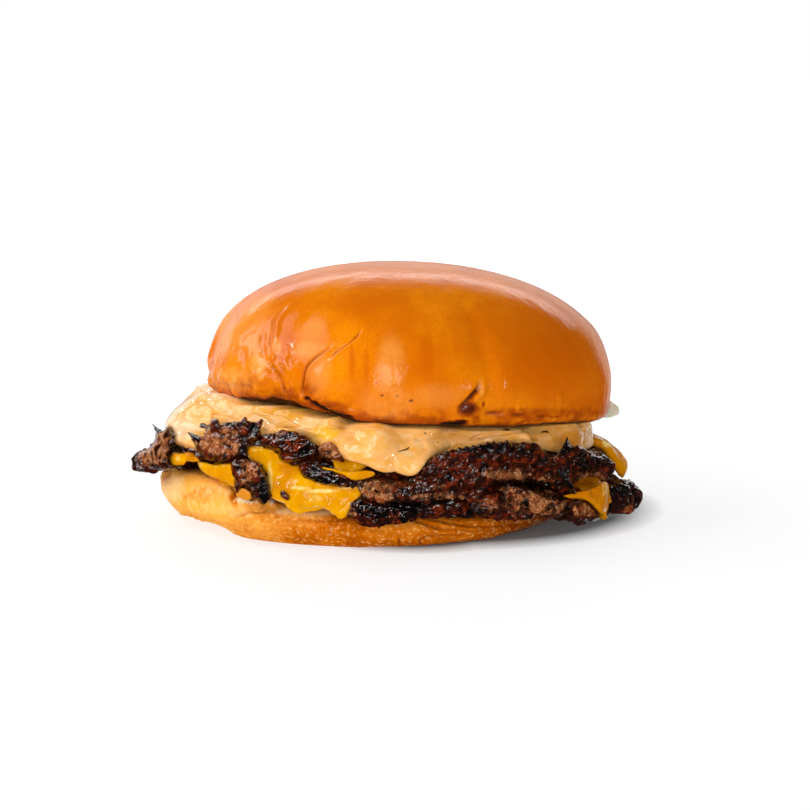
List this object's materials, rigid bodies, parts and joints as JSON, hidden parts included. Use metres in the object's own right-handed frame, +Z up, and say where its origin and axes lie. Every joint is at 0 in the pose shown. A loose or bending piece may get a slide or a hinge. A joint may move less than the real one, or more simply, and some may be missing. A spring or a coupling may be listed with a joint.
{
  "type": "double smash burger",
  "caption": "Smash burger: glossy domed bun, lacy seared beef patties with draping melted cheese, thick dripping sauce, on a soft bun heel.",
  "frame": {"origin": "middle of the burger's footprint, on the surface that it rests on", "axes": "+X along the widest extent, from the left patty edge to the right one; -Y is the front; +Z up"},
  "size_m": [0.1329, 0.1176, 0.0651],
  "materials": {
    "bun_heel": "satin",
    "bun_crust": "gloss",
    "seared_beef": "satin",
    "melted_cheese": "gloss",
    "burger_sauce": "gloss",
    "raw_onion": "gloss"
  },
  "bodies": {
    "root": {"bun_heel": "bun_heel", "patty_lower": "seared_beef", "cheese_lower": "melted_cheese", "patty_upper": "seared_beef", "cheese_upper": "melted_cheese", "sauce": "burger_sauce", "onion_sliver": "raw_onion", "bun_top": "bun_crust"}
  },
  "joints": []
}
